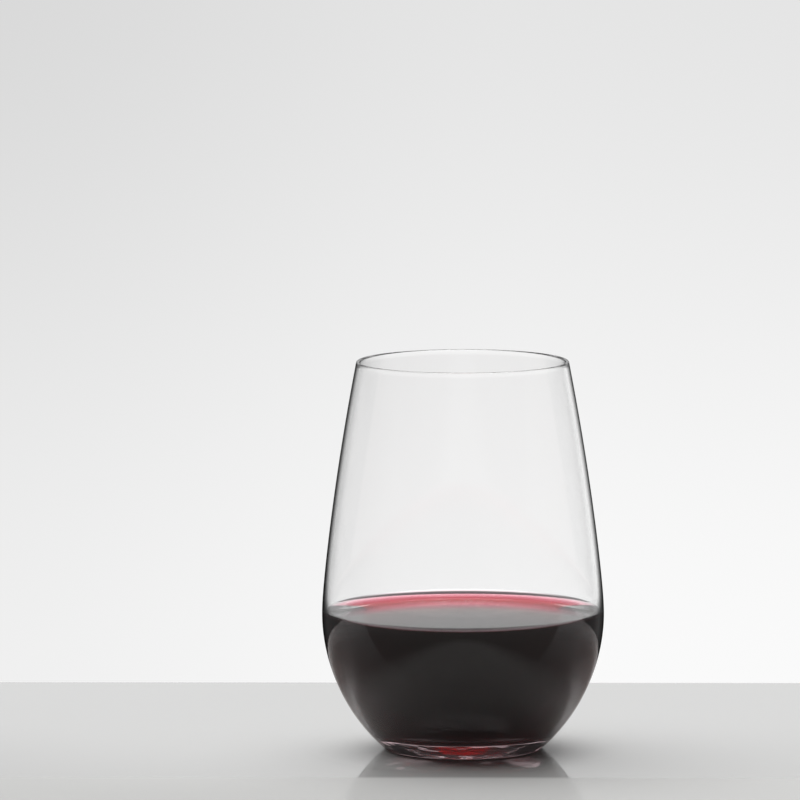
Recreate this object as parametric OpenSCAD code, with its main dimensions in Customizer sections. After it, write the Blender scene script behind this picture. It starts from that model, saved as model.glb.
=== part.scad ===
/* [Bowl] */
// Height from the resting surface to the top of the rim
glass_height = 109; // [90:1:130]
// Outside diameter at the widest part of the bowl
belly_diameter = 78.8; // [70:0.2:92]
// Height of the widest part above the resting surface
belly_height = 37.8; // [30:0.2:48]
// Fullness of the outside below the widest part, where 2 is an ellipse and less is more pointed
lower_fullness = 1.9; // [1.8:0.05:2.2]
// Outside diameter at the rim
rim_diameter = 59.2; // [50:0.2:66]
// Height over which the wall turns inwards above the widest part
wall_bend = 5.7; // [3:0.1:30]
// Share of the narrowing above the widest part that an even curve makes, and a straight wall the rest
curve_share = 0.36; // [0:0.02:0.6]

/* [Glass wall] */
// Thickness of the wall at the rim
rim_wall = 1; // [0.8:0.1:1.6]
// Thickness of the wall at the widest part
belly_wall = 1.2; // [1:0.1:2]
// Thickness that the wall would have at the foot
heel_wall = 2; // [1.6:0.1:3]
// Radius of the inside corner between the wall and the floor of the bowl
heel_radius = 8; // [6:0.5:12]

/* [Foot] */
// Diameter at which the outside of the bowl meets the resting surface
foot_diameter = 43.4; // [38:0.2:50]
// Radius that softens the outer edge of the foot
foot_edge = 2; // [0.5:0.5:4]
// Width of the flat ring that the glass stands on
foot_land = 5; // [2:0.5:8]
// Depth of the shallow hollow under the base
punt_depth = 1; // [0.4:0.1:2]
// Thickness of the glass in the middle of the base
base_thickness = 4.5; // [3:0.5:7]

/* [Wine] */
// Height of the level part of the wine's surface above the resting surface
wine_level = 36.4; // [20:0.1:60]
// Capillary length of wine, which sets how far its edge climbs the wall
capillary_length = 2.2; // [1.5:0.1:2.8]
// Slope of the wine's surface where it meets the wall, in degrees
edge_slope = 85; // [40:5:85]
// Gap between the wine and the glass, so that the two stay separate solids
wine_clearance = 0.25; // [0.1:0.05:0.5]

/* [Hidden] */

// Number of steps along each stretch of an outline, and round the axis
curve_steps = 36;
arc_steps = 8;
round_steps = 120;
// How often a range is halved to find a height
halvings = 40;
// Share of the slope that is left at each step from the wine's edge towards its level middle
slope_share = 0.6;

belly_radius = belly_diameter / 2;
rim_radius = rim_diameter / 2;
foot_radius = foot_diameter / 2;
floor_height = punt_depth + base_thickness;
wall_rise = glass_height - belly_height;

// Half height of the closed curve that carries the outside of the bowl down to the foot
outer_half_height = belly_height
    / pow(1 - pow(foot_radius / belly_radius, lower_fullness), 1 / lower_fullness);

// How far the wall has come at height u above the widest part, from 0 there to 1 at the rim
function bend(u) = norm([u, wall_bend]) - wall_bend;
function narrowing(u) =
    (1 - curve_share) * bend(u) / bend(wall_rise) + curve_share * pow(u / wall_rise, 2);
function narrowing_slope(u) =
    (1 - curve_share) * u / norm([u, wall_bend]) / bend(wall_rise)
    + 2 * curve_share * u / pow(wall_rise, 2);

// Radius of the outside at height z, and its change with height
function outer_radius(z) =
    z < belly_height
    ? belly_radius * pow(
        1 - pow((belly_height - z) / outer_half_height, lower_fullness),
        1 / lower_fullness
    )
    : belly_radius - (belly_radius - rim_radius) * narrowing(z - belly_height);
function outer_slope(z) =
    z < belly_height
    ? belly_radius / outer_half_height
        * pow((belly_height - z) / outer_half_height, lower_fullness - 1)
        * pow(outer_radius(z) / belly_radius, 1 - lower_fullness)
    : -(belly_radius - rim_radius) * narrowing_slope(z - belly_height);

// Wall thickness: it thins evenly towards the rim, and thickens more and more towards the foot
function wall_at(z) =
    z < belly_height
    ? belly_wall + (heel_wall - belly_wall) * pow((belly_height - z) / belly_height, 2)
    : belly_wall + (rim_wall - belly_wall) * (z - belly_height) / wall_rise;

// Inside point that lies square to the outside at height z, under the wall and a gap
function inside(z, gap) =
    let (slope = outer_slope(z))
    [outer_radius(z), z] + (wall_at(z) + gap) / norm([1, slope]) * [-1, slope];

// Height on the outside, between low and high, whose inside point stands at height target
function height_for(target, gap, low, high, tries) =
    let (z = (low + high) / 2)
    tries == 0
    ? z
    : inside(z, gap).y < target
        ? height_for(target, gap, z, high, tries - 1)
        : height_for(target, gap, low, z, tries - 1);

// Inside corner: its centre is as far from the wall as from the floor
corner_z = height_for(floor_height + heel_radius, heel_radius, 0, belly_height, halvings);
corner_centre = inside(corner_z, heel_radius);
corner_slope = atan(outer_slope(corner_z));

// Foot: the edge arc turns from the flat ring into the slope of the bowl
edge_turn = 90 - atan(outer_slope(0));
land_radius = foot_radius - foot_edge * tan(edge_turn / 2);
punt_radius = land_radius - foot_land;
edge_top = foot_edge * (1 - cos(edge_turn));

// Rim: a half round as wide as the wall, leaning with it
rim_tilt = atan(-outer_slope(glass_height));
rim_centre_z = glass_height - rim_wall / 2;
rim_start_z = rim_centre_z + rim_wall / 2 * sin(rim_tilt);
rim_centre_r = outer_radius(rim_start_z) - rim_wall / 2 * cos(rim_tilt);

// Wine: its edge is the curve of a liquid that surface tension holds up against a wall
function edge_height(s) = 2 * capillary_length * sin(s / 2);
function edge_reach(s) = capillary_length * (-ln(tan(s / 4)) - 2 * cos(s / 2));
contact_z = height_for(
    wine_level + edge_height(edge_slope), wine_clearance, corner_z, glass_height, halvings
);
contact = inside(contact_z, wine_clearance);

punt_points = [
    for (i = [0 : arc_steps])
        let (r = punt_radius * i / arc_steps)
        [r, punt_depth * pow(cos(90 * r / punt_radius), 2)]
];

edge_points = [
    for (i = [0 : arc_steps - 1])
        let (a = edge_turn * i / arc_steps)
        [land_radius + foot_edge * sin(a), foot_edge * (1 - cos(a))]
];

outer_points = [
    for (i = [0 : 2 * curve_steps - 1])
        let (z = edge_top + (rim_start_z - edge_top) * i / (2 * curve_steps))
        [outer_radius(z), z]
];

rim_points = [
    for (i = [0 : arc_steps])
        let (a = rim_tilt + 180 * i / arc_steps)
        [rim_centre_r + rim_wall / 2 * cos(a), rim_centre_z + rim_wall / 2 * sin(a)]
];

// Inside below the outside's height start: the wall, the corner's arc, and the middle of the floor
function inside_points(start, gap) = concat(
    [
        for (i = [1 : 2 * curve_steps])
            inside(start + (corner_z - start) * i / (2 * curve_steps), gap)
    ],
    [
        for (i = [1 : 2 * arc_steps])
            let (a = -corner_slope + (corner_slope - 90) * i / (2 * arc_steps))
            corner_centre + (heel_radius - gap) * [cos(a), sin(a)]
    ],
    [[0, floor_height + gap]]
);

// The wine's surface, from its level middle to its edge on the wall
surface_points = concat(
    [[0, wine_level]],
    [
        for (i = [arc_steps + 1 : -1 : 1])
            let (s = edge_slope * pow(slope_share, i))
            [contact.x + edge_reach(edge_slope) - edge_reach(s), wine_level + edge_height(s)]
    ],
    [contact]
);

module glass_bowl() {
    color([0.86, 0.9, 0.92, 0.35])
        rotate_extrude($fn = round_steps)
            polygon(concat(
                punt_points,
                edge_points,
                outer_points,
                rim_points,
                inside_points(rim_start_z, 0)
            ));
}

module red_wine() {
    color([0.26, 0.03, 0.06])
        rotate_extrude($fn = round_steps)
            polygon(concat(surface_points, inside_points(contact_z, wine_clearance)));
}

glass_bowl();
red_wine();
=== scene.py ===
import math

import bpy
import numpy as np
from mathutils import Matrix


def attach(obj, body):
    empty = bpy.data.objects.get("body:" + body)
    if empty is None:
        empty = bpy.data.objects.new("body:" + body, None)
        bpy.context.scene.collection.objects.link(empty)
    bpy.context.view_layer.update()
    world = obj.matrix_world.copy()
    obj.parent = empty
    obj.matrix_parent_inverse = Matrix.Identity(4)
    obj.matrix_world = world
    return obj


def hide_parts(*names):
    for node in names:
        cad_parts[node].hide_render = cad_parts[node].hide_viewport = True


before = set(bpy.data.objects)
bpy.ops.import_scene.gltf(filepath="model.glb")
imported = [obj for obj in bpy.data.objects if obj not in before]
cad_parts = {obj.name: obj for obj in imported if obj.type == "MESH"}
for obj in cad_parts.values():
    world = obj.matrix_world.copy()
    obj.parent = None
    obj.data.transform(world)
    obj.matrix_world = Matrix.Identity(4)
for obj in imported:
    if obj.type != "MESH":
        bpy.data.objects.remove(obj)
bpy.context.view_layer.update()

mm = 0.001

# The camera stands where the photograph's did, and looks down at the middle of the glass
cameraPlace = {
    "distance": 2354 * mm,            # from the axis of the glass, along -Y
    "height": 376.9 * mm,             # above the table
    "lensLength": 382.7,              # millimetres, on a sensor of the next width
    "sensorWidth": 36.0,
    "turn": math.radians(0.4072),     # to the left, which sets the glass right of the middle
    "tilt": math.radians(6.755),      # downwards
    "roll": math.radians(0.15),       # clockwise
    "farLimit": 50.0,
}

glassBowl = {
    "height": 109 * mm,
    "bellyRadius": 39.4 * mm,
    "bellyHeight": 37.8 * mm,
    "lowerFullness": 1.9,             # of the outside below the belly, where 2 is an ellipse
    "rimRadius": 29.6 * mm,
    "wallBend": 5.7 * mm,             # height over which the wall turns inwards above the belly
    "curveShare": 0.36,               # share of the narrowing above the belly that an even curve makes
    "rimWall": 1.0 * mm,
    "bellyWall": 1.2 * mm,
    "heelWall": 2.0 * mm,             # the thickness that the wall would have at the foot
    "heelRadius": 8 * mm,             # of the inside corner between wall and floor
    "footRadius": 21.7 * mm,
    "footEdge": 2 * mm,
    "footLand": 5 * mm,
    "puntDepth": 1 * mm,
    "baseThickness": 4.5 * mm,
    "index": 1.52,
    "mirror": 1.0,                    # share of the glass's own shine, in air
    "wetMirror": 0.05,                # and where the wine lies on it
    "edgeFacing": (0.72, 0.80, 0.86, 0.92),  # from 0, seen square on, to 1, seen edge on
    "paintedEdgeShade": (1.0, 0.95, 0.74, 0.22),    # painted shade: how much light it passes at each of these, which darkens its outlines
    "paintedGlow": 0.003,                    # painted glow: light that each surface gives off of its own, in place of the light that dust and faint marks on it scatter
    "waveScale": 150.0,
    "waveDepth": 0.10 * mm,
    "waveBase": (7 * mm, 1.0),        # height, and share of the waves up to there
    "waveBowl": (10 * mm, 0.04),      # and from there up
}

wineFill = {
    "level": 36.4 * mm,
    "capillaryLength": 2.2 * mm,
    "edgeSlope": math.radians(85),
    "soak": 0.06 * mm,                # how far the wine's wall lies inside the glass, so no air shows between
    "soakFade": 4,                    # power of the rise with which this runs out towards the edge
    "index": 1.344,
    "keeps": (0.905, 0.0, 0.20),      # share of red, green and blue that the absorption leaves alone
    "density": 1100.0,
    "rippleScale": 40.0,
    "rippleDepth": 0.01 * mm,
}

# Number of points round the axis, and along each stretch of the two outlines
pointCounts = {
    "round": 256,
    "punt": 33,
    "footEdge": 13,
    "outside": 121,
    "rim": 17,
    "upperInside": 61,
    "edgeToBelly": 4,         # between the height of the wine's edge and the belly, on the glass
    "bellyToEdge": 9,         # and on the wine
    "lowerInside": 61,
    "corner": 41,
    "flat": 25,               # on the bowl's floor, and on the wine's level surface
    "wineEdge": 45,
}
outsideCrowding = 1.3         # above 1, more of the outside's points lie near the foot
wineEdgeCrowding = 0.88       # share of its slope that the wine's surface keeps from point to point
halvings = 40                 # of a range, to find a height
nearly = 1e-9                 # metres that count as none

tableTop = {
    "size": 6.0,
    "farEdge": 120.7 * mm,
    "turn": math.radians(-1.0),       # of its edges, seen from above
    # painted shade: the table's colour darkens from the back to the front, away from the light behind the
    # glass
    "backColour": (0.66, 0.66, 0.654),
    "frontShadedColour": (0.585, 0.585, 0.575),
    "backFrom": 60 * mm,              # along Y
    "frontFrom": -130 * mm,
    "shadeTowards": (-0.707, -0.707, 0),  # the front left corner lies in a soft shade
    "shadeFrom": (50 * mm, 1.0),      # how far that way from the axis, and share of the colour
    "shadeTo": (135 * mm, 0.86),
    "mirroredCentre": (0, -60 * mm, 0),   # in mirrors its colour falls off from there, a painted shade
    "mirroredStretch": (2.0, 1, 1),   # distances to the sides count for more
    "mirroredNear": (100 * mm, (0.70, 0.66, 0.65)),  # distance, and share of the colour
    "mirroredFar": (160 * mm, (0.27, 0.21, 0.20)),
    "index": 1.05,                    # a dull lacquer, which mirrors only at a low angle
    "roughness": 0.10,
    "sheetIndex": 1.5,                # the glass stands on a glossy sheet
    "sheetRoughness": 0.03,
    "sheetEnd": (-54 * mm, 0.0),      # along Y, and share of the gloss: the sheet ends in front of the glass
    "sheetStart": (-50 * mm, 1.0),
    "sheetNear": (26 * mm, 0.2),      # distance from the axis, and share: the gloss fades towards the foot
    "sheetFar": (44 * mm, 1.0),
}

# The room. Angles are in degrees: heights are above the horizon, turns are to the right of straight behind
studio = {
    "backdropLow": (-9, 0.92),        # height and level, at the table's edge
    "backdropHigh": (-3.5, 0.74),     # and towards the top of the picture
    "backdropLeft": (-3.6, -0.05),    # turn, and level that is added
    "backdropRight": (0.6, 0.038),
    "lampHeight": 58,                 # the soft light on the table stands behind the glass
    "lampTurn": -16,
    "lampDark": (0.55, 0.0),          # cosine of the angle from its middle, and level
    "lampBright": (0.92, 3.05),
    "lampInGlass": 0.2,               # how much of it comes to the table through the glass
    # What mirrors show of the room, by turn. Below ringLow's height the room to the sides is dark
    "ringTurn": (-180, -90, -60, -44, -33, -25, -18, -13, 13, 18, 25, 31, 38, 44, 60, 90, 180),
    "ringLevel": (0.70, 0.90, 1.05, 0.95, 0.80, 0.40, 0.10, 0.05, 0.05, 0.30, 0.60, 1.30, 1.30, 0.90,
                  0.95, 0.85, 0.70),
    "ringLow": (-7.4, 0.10),          # height, and share of the ring's level
    "ringHigh": (-5.2, 1.0),
    # And of the lit wall straight behind and the lights above it, by height
    "skyHeight": (-90, -18.5, -16.5, -14, -10, -8, -6, -3, 1, 8.4, 8.8, 9.6, 10.5, 12, 16, 18, 22, 27, 31,
                  38, 48, 60, 66, 90),
    "skyLevel": (0.12, 0.12, 1.30, 1.30, 1.02, 0.97, 0.88, 0.80, 0.72, 0.66, 0.62, 0.60, 1.0, 1.0, 0.40,
                 0.45, 1.2, 4.0, 1.0, 0.5, 0.4, 0.5, 6.0, 6.0),
    "skyHalf": (4.5, 60, 200),        # turn to each side that it fills: below the horizon, above it, overhead
    "skyHalfOutside": 0.0573,         # and below it for a ray that has not been inside the bowl
    "skySide": (0.7, 1.3),            # shares of that turn between which it gives way to the ring
    "horizon": (0, 4),                # heights between which what is below gives way to what is above
    "overhead": (60, 66),
    "aboveGlass": 0.92,               # level above the horizon, straight through the glass
    "bowlDepth": 2.5,                 # surfaces that a ray has passed once it has been inside the bowl
    "wineDepth": 4.5,                 # and once it has been through the wine as well
}


def outerHalfHeight():
    # Half height of the closed curve that carries the outside of the bowl down to the foot:
    # belly height / (1 - (foot radius / belly radius) ^ n) ^ (1 / n)
    g = glassBowl
    n = g["lowerFullness"]
    return g["bellyHeight"] / (1 - (g["footRadius"] / g["bellyRadius"]) ** n) ** (1 / n)


def outerRadius(z):
    # Radius of the outside at height z. Below the belly (radius / belly radius) ^ n +
    # (depth below the belly / half height) ^ n = 1. Above it the wall narrows to the rim
    # as a hyperbola's branch does, with a share of the narrowing that grows as the square of the rise
    g = glassBowl
    n = g["lowerFullness"]
    below = np.clip(g["bellyHeight"] - z, 0, None)
    above = np.clip(z - g["bellyHeight"], 0, None)
    rise = g["height"] - g["bellyHeight"]
    bendAtRim = math.hypot(rise, g["wallBend"]) - g["wallBend"]
    bend = (np.hypot(above, g["wallBend"]) - g["wallBend"]) / bendAtRim
    narrowing = (1 - g["curveShare"]) * bend + g["curveShare"] * (above / rise) ** 2
    lower = g["bellyRadius"] * (1 - (below / outerHalfHeight()) ** n) ** (1 / n)
    return lower - (g["bellyRadius"] - g["rimRadius"]) * narrowing


def outerSlope(z):
    # Change of the outside's radius with height: outerRadius differentiated
    g = glassBowl
    n = g["lowerFullness"]
    below = np.clip(g["bellyHeight"] - z, 0, None)
    above = np.clip(z - g["bellyHeight"], 0, None)
    rise = g["height"] - g["bellyHeight"]
    bendAtRim = math.hypot(rise, g["wallBend"]) - g["wallBend"]
    bend = above / np.hypot(above, g["wallBend"]) / bendAtRim
    narrowing = (1 - g["curveShare"]) * bend + 2 * g["curveShare"] * above / rise ** 2
    lower = g["bellyRadius"] / outerHalfHeight() * (below / outerHalfHeight()) ** (n - 1)
    lower = lower * (outerRadius(np.minimum(z, g["bellyHeight"])) / g["bellyRadius"]) ** (1 - n)
    return lower - (g["bellyRadius"] - g["rimRadius"]) * narrowing


def wallAt(z):
    # Wall thickness: it thins evenly from the belly to the rim, and thickens as a square towards the foot
    g = glassBowl
    below = np.clip(g["bellyHeight"] - z, 0, None) / g["bellyHeight"]
    above = np.clip(z - g["bellyHeight"], 0, None) / (g["height"] - g["bellyHeight"])
    thicker = (g["heelWall"] - g["bellyWall"]) * below ** 2
    return g["bellyWall"] + thicker + (g["rimWall"] - g["bellyWall"]) * above


def upperInside(z, gap=0.0):
    # Radius of the inside above the belly: the outside less the wall and the gap, measured square to it
    return outerRadius(z) - (wallAt(z) + gap) * np.hypot(1, outerSlope(z))


def inset(z, depth):
    # Point that lies depth inside the outside at height z, square to it: the radius falls by
    # depth / length and the height grows by depth x slope / length, where length = hypot(1, slope)
    slope = outerSlope(z)
    length = np.hypot(1, slope)
    return outerRadius(z) - depth / length, z + depth * slope / length


def insideBelow(gap=0.0):
    # Inside from the belly down: the wall, an arc in the corner, and the flat floor to the axis.
    # The arc's centre is as far from the wall as from the floor, which halving a range finds
    g = glassBowl
    centreZ = g["puntDepth"] + g["baseThickness"] + g["heelRadius"]
    low, high = 0.0, g["bellyHeight"]
    for _ in range(halvings):
        z = (low + high) / 2
        if float(inset(z, wallAt(z) + g["heelRadius"])[1]) < centreZ:
            low = z
        else:
            high = z
    z = g["bellyHeight"] + (low - g["bellyHeight"]) * np.linspace(0, 1, pointCounts["lowerInside"])
    wallR, wallZ = inset(z, wallAt(z) + gap)
    centreR = float(inset(low, wallAt(low) + g["heelRadius"])[0])
    a = np.linspace(-math.atan(float(outerSlope(low))), -math.pi / 2, pointCounts["corner"])[1:]
    radius = g["heelRadius"] - gap
    arcR, arcZ = centreR + radius * np.cos(a), centreZ + radius * np.sin(a)
    floorR = centreR * np.linspace(1, 0, pointCounts["flat"])[1:]
    floorZ = np.full_like(floorR, centreZ - radius)
    return np.concatenate([wallR, arcR, floorR]), np.concatenate([wallZ, arcZ, floorZ])


def contactHeight():
    # Where the wine's edge meets the wall: level + 2 x capillary length x sin(slope / 2)
    w = wineFill
    return w["level"] + 2 * w["capillaryLength"] * math.sin(w["edgeSlope"] / 2)


def glassProfile():
    # The glass's outline from the hollow's middle, round the foot, up, over the rim and down inside:
    # a cosine squared, an arc, the outside, a half round, and the inside.
    # The third row says which points the wine lies on
    g = glassBowl
    edgeTurn = math.pi / 2 - math.atan(float(outerSlope(0.0)))
    landRadius = g["footRadius"] - g["footEdge"] * math.tan(edgeTurn / 2)
    puntRadius = landRadius - g["footLand"]
    tilt = math.atan(-float(outerSlope(g["height"])))
    half = g["rimWall"] / 2
    rimZ = g["height"] - half
    startZ = rimZ + half * math.sin(tilt)
    endZ = rimZ - half * math.sin(tilt)
    rimR = float(outerRadius(startZ)) - half * math.cos(tilt)

    r = np.linspace(0, puntRadius, pointCounts["punt"])
    parts = [(r, g["puntDepth"] * np.cos(np.pi / 2 * r / puntRadius) ** 2)]
    a = np.linspace(0, edgeTurn, pointCounts["footEdge"])
    parts.append((landRadius + g["footEdge"] * np.sin(a), g["footEdge"] * (1 - np.cos(a))))
    edgeTop = g["footEdge"] * (1 - math.cos(edgeTurn))
    rise = np.linspace(0, 1, pointCounts["outside"])[1:] ** outsideCrowding
    z = edgeTop + (startZ - edgeTop) * rise
    parts.append((outerRadius(z), z))
    a = np.linspace(tilt, tilt + np.pi, pointCounts["rim"])[1:]
    parts.append((rimR + half * np.cos(a), rimZ + half * np.sin(a)))
    outsideCount = sum(len(part[0]) for part in parts)
    z = np.concatenate([
        np.linspace(endZ, contactHeight(), pointCounts["upperInside"])[1:],
        np.linspace(contactHeight(), g["bellyHeight"], pointCounts["edgeToBelly"])[1:-1],
    ])
    parts.append((upperInside(z), z))
    parts.append(insideBelow())
    r, z = [np.concatenate(rows) for rows in zip(*parts)]
    wet = (np.arange(len(r)) >= outsideCount) & (z <= contactHeight() + nearly)
    return r, z, wet


def wineProfile():
    # Up the wall from the floor's middle, then over the surface to the axis. The surface is the curve of a
    # liquid held up against a wall: where its slope is s, it stands 2c sin(s / 2) above the level and
    # c (-ln tan(s / 4) - 2 cos(s / 2)) from a fixed line, where c is the capillary length.
    # The third value says which point is the edge
    w = wineFill
    belowR, belowZ = insideBelow(-w["soak"])
    rise = np.linspace(0, 1, pointCounts["bellyToEdge"])[1:]
    upZ = glassBowl["bellyHeight"] + (contactHeight() - glassBowl["bellyHeight"]) * rise
    upR = upperInside(upZ, -w["soak"] * (1 - rise ** w["soakFade"]))
    wallR, wallZ = np.concatenate([belowR[::-1], upR]), np.concatenate([belowZ[::-1], upZ])
    s = w["edgeSlope"] * wineEdgeCrowding ** np.arange(pointCounts["wineEdge"])
    reach = w["capillaryLength"] * (-np.log(np.tan(s / 4)) - 2 * np.cos(s / 2))
    topR = upR[-1] - (reach - reach[0])
    topZ = w["level"] + 2 * w["capillaryLength"] * np.sin(s / 2)
    flatR = topR[-1] * np.linspace(1, 0, pointCounts["flat"])[1:]
    r = np.concatenate([wallR, topR[1:], flatR])
    z = np.concatenate([wallZ, topZ[1:], np.full_like(flatR, w["level"])])
    return r, z, len(wallR) - 1


def turnedPiece(name, r, z, materials, flag, sharpPoint=None):
    # A profile carried once round the Z axis: (r cos turn, r sin turn, z). Its first and last points lie on
    # the axis and close as poles. A face takes the second material where the profile's points at both of
    # its ends carry the flag, and the ring at the profile's sharpPoint is a sharp edge
    steps = pointCounts["round"]
    turns = np.linspace(0, 2 * np.pi, steps, endpoint=False)
    innerR, innerZ = r[1:-1], z[1:-1]
    grid = np.stack([
        innerR[:, None] * np.cos(turns),
        innerR[:, None] * np.sin(turns),
        np.repeat(innerZ[:, None], steps, axis=1),
    ], axis=2).reshape(-1, 3)
    points = np.concatenate([grid, [[0, 0, z[0]], [0, 0, z[-1]]]])
    row = np.arange(len(innerR) - 1)[:, None] * steps
    here = np.arange(steps)[None, :]
    there = (here + 1) % steps
    quads = np.stack([row + here, row + there, row + steps + there, row + steps + here], axis=2)
    ring = np.arange(steps)
    after = (ring + 1) % steps
    first, last = len(points) - 2, len(points) - 1
    lastRow = (len(innerR) - 1) * steps
    startFan = np.stack([np.full(steps, first), after, ring], axis=1)
    endFan = np.stack([np.full(steps, last), lastRow + ring, lastRow + after], axis=1)
    corners = np.concatenate([quads.ravel(), startFan.ravel(), endFan.ravel()]).astype(np.int32)
    counts = np.concatenate([np.full(quads.size // 4, 4), np.full(2 * steps, 3)]).astype(np.int32)
    starts = np.concatenate([[0], np.cumsum(counts)[:-1]]).astype(np.int32)
    both = (flag[1:] & flag[:-1]).astype(np.int32)
    slots = np.concatenate([np.repeat(both[1:-1], steps), np.full(steps, both[0]), np.full(steps, both[-1])])

    mesh = bpy.data.meshes.new(name)
    mesh.vertices.add(len(points))
    mesh.vertices.foreach_set("co", points.astype(np.float32).ravel())
    mesh.loops.add(len(corners))
    mesh.loops.foreach_set("vertex_index", corners)
    mesh.polygons.add(len(counts))
    mesh.polygons.foreach_set("loop_start", starts)
    mesh.polygons.foreach_set("loop_total", counts)
    mesh.polygons.foreach_set("use_smooth", np.ones(len(counts), bool))
    mesh.update(calc_edges=True)
    mesh.validate()
    if sharpPoint is not None:
        ends = np.empty(2 * len(mesh.edges), np.int32)
        mesh.edges.foreach_get("vertices", ends)
        rings = ends.reshape(-1, 2) // steps
        mesh.edges.foreach_set("use_edge_sharp", np.all(rings == sharpPoint - 1, axis=1))
    for material in materials:
        mesh.materials.append(material)
    mesh.polygons.foreach_set("material_index", slots)
    piece = bpy.data.objects.new(name, mesh)
    bpy.context.scene.collection.objects.link(piece)
    print(name, "made,", len(counts), "faces")
    return piece


def addNode(tree, kind, inputs=None, **settings):
    # A shader node with its settings. An input, by name or number, is another node's output or a value
    node = tree.nodes.new("ShaderNode" + kind)
    for setting, value in settings.items():
        setattr(node, setting, value)
    for key, value in (inputs or {}).items():
        if isinstance(value, bpy.types.NodeSocket):
            tree.links.new(value, node.inputs[key])
        else:
            node.inputs[key].default_value = value
    return node


def calc(tree, operation, a, b=0.0):
    # a and b put together by a Math node's operation
    return addNode(tree, "Math", {0: a, 1: b}, operation=operation).outputs[0]


def vectorCalc(tree, operation, a, b=(0, 0, 0)):
    # The same for vectors. The result is a vector, or a number from the second output
    return addNode(tree, "VectorMath", {0: a, 1: b}, operation=operation).outputs


def fade(tree, value, start, end, kind="SMOOTHSTEP"):
    # start and end are a value and a level each. The result is the first level at the first value and
    # beyond, the second at the second, and between them 3t^2 - 2t^3 of the way, or t of it if LINEAR
    inputs = {0: value, 1: start[0], 2: end[0], 3: start[1], 4: end[1]}
    return addNode(tree, "MapRange", inputs, interpolation_type=kind).outputs[0]


def choose(tree, share, a, b):
    # a x (1 - share) + b x share, for numbers
    return addNode(tree, "Mix", {0: share, 2: a, 3: b}).outputs[0]


def blend(tree, share, a, b, kind="MIX"):
    # The same for colours. With MULTIPLY it is a x (1 - share) + a x b x share
    return addNode(tree, "Mix", {0: share, 6: a, 7: b}, data_type="RGBA", blend_type=kind).outputs[2]


def curve(tree, value, places, colours):
    # A colour for each value from 0 to 1: the given ones at their places, and straight lines between them
    node = addNode(tree, "ValToRGB", {0: value})
    stops = node.color_ramp.elements
    while len(stops) < len(places):
        stops.new(0.5)
    for stop, place, colour in zip(stops, places, colours):
        stop.position = place
        stop.color = (*colour, 1)
    return node.outputs[0]


def greys(levels):
    # Each level as a colour with equal parts
    return [(level, level, level) for level in levels]


def fadeBetween(tree, sine, start, end):
    # fade for the sine of an angle, where start and end are degrees and a level each
    low, high = math.sin(math.radians(start[0])), math.sin(math.radians(end[0]))
    return fade(tree, sine, (low, start[1]), (high, end[1]))


def curveByAngle(tree, angle, whole, degrees, levels):
    # The level at each of the degrees, which run from -whole / 2 to whole / 2, and straight lines between
    share = calc(tree, "ADD", calc(tree, "DIVIDE", angle, math.radians(whole)), 0.5)
    return curve(tree, share, [(v + whole / 2) / whole for v in degrees], greys(levels))


def nodeMaterial(name):
    # A material with an output and no shader yet
    material = bpy.data.materials.new(name)
    material.use_nodes = True
    tree = material.node_tree
    tree.nodes.clear()
    return material, tree, addNode(tree, "OutputMaterial")


def waves(tree, place, strength, scale, depth):
    # A surface direction tilted by a soft noise, which moves the surface by up to strength x depth
    noise = addNode(tree, "TexNoise", {"Vector": place, "Scale": scale, "Detail": 1.0})
    inputs = {"Strength": strength, "Distance": depth, "Height": noise.outputs[0]}
    return addNode(tree, "Bump", inputs).outputs[0]


def crystalMaterial(name, mirror):
    # Clear glass that passes less light the more edge on it is seen, a painted shade that draws dark outlines
    # at its edges, and gives off a faint painted glow of its own. mirror is the share of its own shine. Its
    # waves fade from the pressed base to the bowl
    g = glassBowl
    material, tree, output = nodeMaterial(name)
    facing = addNode(tree, "LayerWeight").outputs["Facing"]
    place = addNode(tree, "TexCoord").outputs["Object"]
    height = addNode(tree, "SeparateXYZ", {0: place}).outputs[2]
    strength = fade(tree, height, g["waveBowl"], g["waveBase"], "LINEAR")
    shader = addNode(tree, "BsdfPrincipled", {
        "Transmission Weight": 1.0,
        "IOR": g["index"],
        "Roughness": 0.0,
        "Specular Tint": (mirror, mirror, mirror, 1),
        # painted glow: the glass gives off a faint light of its own
        "Emission Color": (1, 1, 1, 1),
        "Emission Strength": g["paintedGlow"],
        # painted shade: the colour darkens the glass towards its edges, to draw dark outlines
        "Base Color": curve(tree, facing, g["edgeFacing"], greys(g["paintedEdgeShade"])),
        "Normal": waves(tree, place, strength, g["waveScale"], g["waveDepth"]),
    })
    tree.links.new(shader.outputs[0], output.inputs["Surface"])
    return material


def wineMaterial(name):
    # A clear liquid with a faint ripple. Over a length, light falls by exp(-density x (1 - keeps) x length)
    w = wineFill
    material, tree, output = nodeMaterial(name)
    place = addNode(tree, "TexCoord").outputs["Object"]
    shader = addNode(tree, "BsdfPrincipled", {
        "Transmission Weight": 1.0,
        "IOR": w["index"],
        "Roughness": 0.0,
        "Base Color": (1, 1, 1, 1),
        "Specular Tint": (0, 0, 0, 1),
        "Normal": waves(tree, place, 1.0, w["rippleScale"], w["rippleDepth"]),
    })
    volume = addNode(tree, "VolumeAbsorption", {"Color": (*w["keeps"], 1), "Density": w["density"]})
    tree.links.new(shader.outputs[0], output.inputs["Surface"])
    tree.links.new(volume.outputs[0], output.inputs["Volume"])
    return material


def makeGlass():
    # The glass's outline turned round the axis, with a duller inside where the wine lies on it
    r, z, wet = glassProfile()
    materials = [
        crystalMaterial("crystal", glassBowl["mirror"]),
        crystalMaterial("wetCrystal", glassBowl["wetMirror"]),
    ]
    return turnedPiece("crystalBowl", r, z, materials, wet)


def makeWine():
    # The wine's outline turned round the axis, with a sharp edge where its surface meets the wall
    r, z, edgePoint = wineProfile()
    return turnedPiece("redWine", r, z, [wineMaterial("wine")], np.zeros(len(r), bool), edgePoint)


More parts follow.
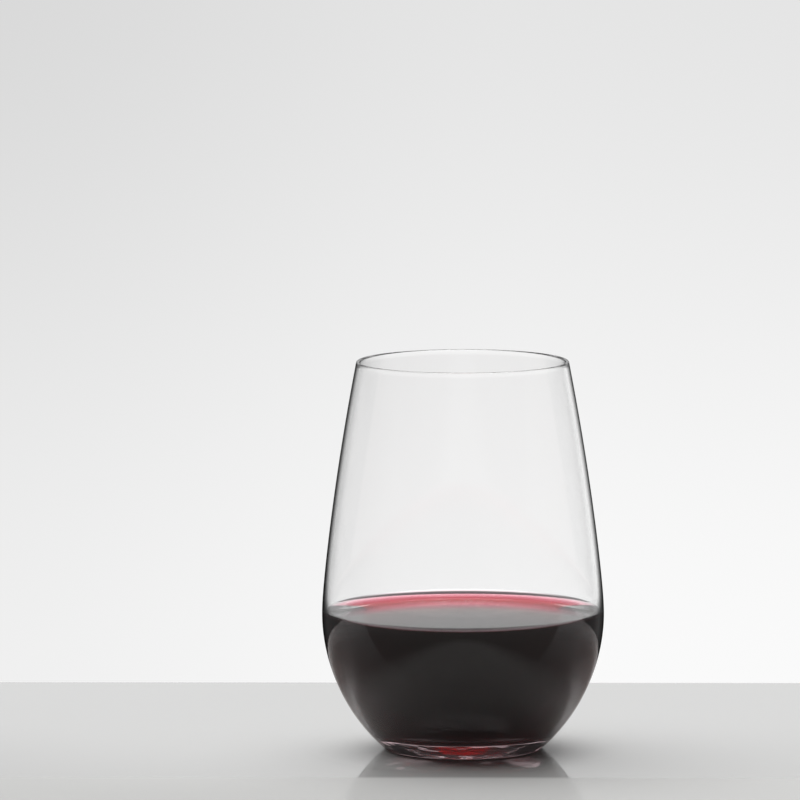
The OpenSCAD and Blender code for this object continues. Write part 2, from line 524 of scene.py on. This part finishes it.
def tableMaterial():
    # The colour darkens evenly from the back to the front, a painted shade, and darkens further towards the
    # painted shade over the front left corner. In mirrors it is multiplied by a share that falls off with the
    # stretched distance from mirroredCentre, a painted shade that draws the table darker and warmer where the
    # glass mirrors it. The sheet's gloss is the product of its end in front and its fading towards the foot
    t = tableTop
    material, tree, output = nodeMaterial("paleTable")
    place = addNode(tree, "TexCoord").outputs["Object"]
    straight = addNode(tree, "Mapping", {0: place, "Rotation": (0, 0, -t["turn"])}).outputs[0]
    along = addNode(tree, "SeparateXYZ", {0: straight}).outputs[1]
    # painted shade: darker towards the front
    front = fade(tree, along, (t["backFrom"], 0.0), (t["frontFrom"], 1.0))
    colour = curve(tree, front, (0, 1), (t["backColour"], t["frontShadedColour"]))
    corner = vectorCalc(tree, "DOT_PRODUCT", place, t["shadeTowards"])["Value"]
    shade = fade(tree, corner, t["shadeFrom"], t["shadeTo"])
    colour = blend(tree, 1.0, colour, shade, "MULTIPLY")

    # painted shade: where the glass mirrors the table, its colour is drawn darker and warmer with distance
    stretched = vectorCalc(tree, "MULTIPLY", place, t["mirroredStretch"])[0]
    gap = vectorCalc(tree, "DISTANCE", stretched, t["mirroredCentre"])["Value"]
    away = fade(tree, gap, (t["mirroredNear"][0], 0.0), (t["mirroredFar"][0], 1.0), "LINEAR")
    mirrorShade = blend(tree, away, (*t["mirroredNear"][1], 1), (*t["mirroredFar"][1], 1))
    bounces = addNode(tree, "LightPath").outputs["Glossy Depth"]
    mirrored = calc(tree, "MINIMUM", bounces, 1.0)
    colour = blend(tree, mirrored, colour, mirrorShade, "MULTIPLY")

    reach = vectorCalc(tree, "LENGTH", place)["Value"]
    gloss = calc(
        tree, "MULTIPLY",
        fade(tree, along, t["sheetEnd"], t["sheetStart"], "LINEAR"),
        fade(tree, reach, t["sheetNear"], t["sheetFar"], "LINEAR"),
    )
    shader = addNode(tree, "BsdfPrincipled", {
        "Base Color": colour,
        "IOR": t["index"],
        "Roughness": t["roughness"],
        "Coat Weight": gloss,
        "Coat IOR": t["sheetIndex"],
        "Coat Roughness": t["sheetRoughness"],
    })
    tree.links.new(shader.outputs[0], output.inputs["Surface"])
    return material


def makeTable():
    # A flat square that ends a little behind the glass, turned about the axis
    half, back = tableTop["size"] / 2, tableTop["farEdge"]
    corners = np.array([(-half, -half), (half, -half), (half, back), (-half, back)])
    cosine, sine = math.cos(tableTop["turn"]), math.sin(tableTop["turn"])
    turned = corners @ np.array([(cosine, sine), (-sine, cosine)])
    mesh = bpy.data.meshes.new("table")
    mesh.from_pydata([(x, y, 0) for x, y in turned], [], [(0, 1, 2, 3)])
    mesh.materials.append(tableMaterial())
    piece = bpy.data.objects.new("table", mesh)
    bpy.context.scene.collection.objects.link(piece)
    print("table made")
    return piece


def makeWorld():
    # The room's level in each direction, by the kind of ray that looks.
    # Camera: the backdrop, which darkens upwards and lightens to the right.
    # Light on the table: a smooth step of the cosine of the angle to the lamp's middle, or a share of
    # that where it comes through the glass.
    # Mirrors: the sky's curve inside a turn to each side, and outside it the ring, dark low down.
    # Straight through the glass: one level above the horizon, and below it the backdrop, or the sky's
    # curve for a ray that has been through the wine. A ray that was mirrored first sees what mirrors show
    world = bpy.data.worlds.new("studio")
    bpy.context.scene.world = world
    world.use_nodes = True
    tree = world.node_tree
    tree.nodes.clear()
    s = studio
    place = addNode(tree, "TexCoord").outputs["Generated"]
    right, back, up = addNode(tree, "SeparateXYZ", {0: place}).outputs
    turn = calc(tree, "ARCTAN2", right, back)
    path = addNode(tree, "LightPath").outputs

    backdrop = fadeBetween(tree, up, s["backdropLow"], s["backdropHigh"])
    sideways = fadeBetween(tree, right, s["backdropLeft"], s["backdropRight"])
    backdrop = calc(tree, "ADD", backdrop, sideways)

    lampHeight, lampTurn = math.radians(s["lampHeight"]), math.radians(s["lampTurn"])
    level = calc(
        tree, "ADD",
        calc(tree, "MULTIPLY", back, math.cos(lampTurn)),
        calc(tree, "MULTIPLY", right, math.sin(lampTurn)),
    )
    toLamp = calc(
        tree, "ADD",
        calc(tree, "MULTIPLY", level, math.cos(lampHeight)),
        calc(tree, "MULTIPLY", up, math.sin(lampHeight)),
    )
    light = fade(tree, toLamp, s["lampDark"], s["lampBright"])

    ring = curveByAngle(tree, turn, 360, s["ringTurn"], s["ringLevel"])
    ring = calc(tree, "MULTIPLY", ring, fadeBetween(tree, up, s["ringLow"], s["ringHigh"]))
    sky = curveByAngle(tree, calc(tree, "ARCSINE", up), 180, s["skyHeight"], s["skyLevel"])
    upward, overhead = [
        fadeBetween(tree, up, (low, 0.0), (high, 1.0)) for low, high in (s["horizon"], s["overhead"])
    ]
    inBowl = calc(tree, "GREATER_THAN", path["Transmission Depth"], s["bowlDepth"])
    inWine = calc(tree, "GREATER_THAN", path["Transmission Depth"], s["wineDepth"])
    narrow, wide, allRound = [math.radians(v) for v in s["skyHalf"]]
    half = choose(tree, inBowl, math.radians(s["skyHalfOutside"]), narrow)
    half = choose(tree, overhead, choose(tree, upward, half, wide), allRound)
    aside = calc(tree, "DIVIDE", calc(tree, "ABSOLUTE", turn), half)
    inner, outer = s["skySide"]
    mirrors = choose(tree, fade(tree, aside, (inner, 1.0), (outer, 0.0)), ring, sky)

    through = choose(tree, upward, choose(tree, inWine, backdrop, sky), s["aboveGlass"])
    onTable = calc(tree, "MINIMUM", path["Diffuse Depth"], 1.0)
    through = choose(tree, onTable, through, calc(tree, "MULTIPLY", light, s["lampInGlass"]))
    mirrored = calc(tree, "MINIMUM", path["Glossy Depth"], 1.0)
    through = choose(tree, mirrored, through, mirrors)
    seen = choose(tree, path["Is Glossy Ray"], light, mirrors)
    seen = choose(tree, path["Is Transmission Ray"], seen, through)
    seen = choose(tree, path["Is Camera Ray"], seen, backdrop)
    background = addNode(tree, "Background", {"Color": (1, 1, 1, 1), "Strength": seen})
    addNode(tree, "OutputWorld", {"Surface": background.outputs[0]})
    print("room made")


def makeCamera():
    # The camera at its place, turned up from straight down by a right angle less its tilt
    c = cameraPlace
    data = bpy.data.cameras.new("camera")
    data.sensor_width = c["sensorWidth"]
    data.lens = c["lensLength"]
    data.clip_end = c["farLimit"]
    camera = bpy.data.objects.new("camera", data)
    camera.location = (0, -c["distance"], c["height"])
    camera.rotation_euler = (math.pi / 2 - c["tilt"], c["roll"], c["turn"])
    bpy.context.scene.collection.objects.link(camera)
    bpy.context.scene.camera = camera
    print("camera made")


glass = makeGlass()
wine = makeWine()
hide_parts("glass_bowl")
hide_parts("red_wine")
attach(glass, "glass")
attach(wine, "wine")
makeTable()
makeWorld()
makeCamera()
bpy.context.scene.view_settings.view_transform = "Standard"
